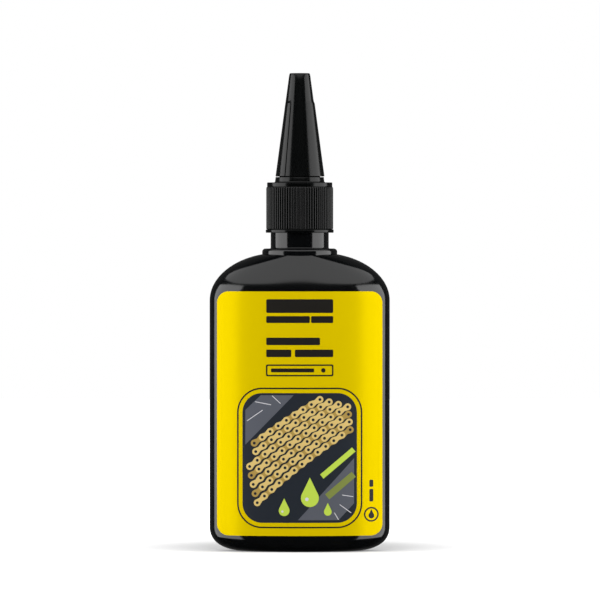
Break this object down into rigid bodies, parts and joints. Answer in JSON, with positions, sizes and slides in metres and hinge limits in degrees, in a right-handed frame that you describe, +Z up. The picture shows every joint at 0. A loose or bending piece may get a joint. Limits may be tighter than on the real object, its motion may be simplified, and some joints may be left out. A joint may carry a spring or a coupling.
{
  "type": "chain lube bottle",
  "caption": "Oval black plastic dropper bottle for chain lubricant, with a yellow front label, a ribbed screw collar and a long conical cap over its tapered spout.",
  "frame": {"origin": "centre of the standing face, on the surface that the bottle stands on", "axes": "+Z up along the spout's axis, the label faces -Y, +X to the viewer's right when the label is seen from the front"},
  "size_m": [0.0604, 0.0311, 0.1605],
  "materials": {
    "black_bottle": "glossy blow-moulded black polyethylene",
    "black_closure": "glossy injection-moulded black polypropylene",
    "yellow_label": "satin yellow printed film",
    "dark_ink": "black printing ink, satin",
    "gold_ink": "gold-toned printing ink, satin"
  },
  "bodies": {
    "bottle": {"bottle": "black_bottle", "front_label": "yellow_label", "label_ink_dark": "dark_ink", "label_ink_gold": "gold_ink"},
    "spout": {"spout": "black_closure"},
    "collar": {"ribbed_collar": "black_closure"},
    "over_cap": {"over_cap": "black_closure"}
  },
  "joints": [
    {"name": "closure_lift", "type": "slide", "parent": "bottle", "child": "spout", "axis": [0, 0, 1], "range_m": [0, 0.0181]},
    {"name": "collar_turn", "type": "hinge", "parent": "spout", "child": "collar", "pos_m": [0, 0, 0.115], "axis": [0, 0, 1], "range_deg": [0, 2040]},
    {"name": "cap_pull", "type": "slide", "parent": "spout", "child": "over_cap", "axis": [0, 0, 1], "range_m": [0, 0.036]}
  ],
  "couplings": [
    {"joint": "closure_lift", "follows": "collar_turn", "m_per_rad": 0.00050532}
  ]
}
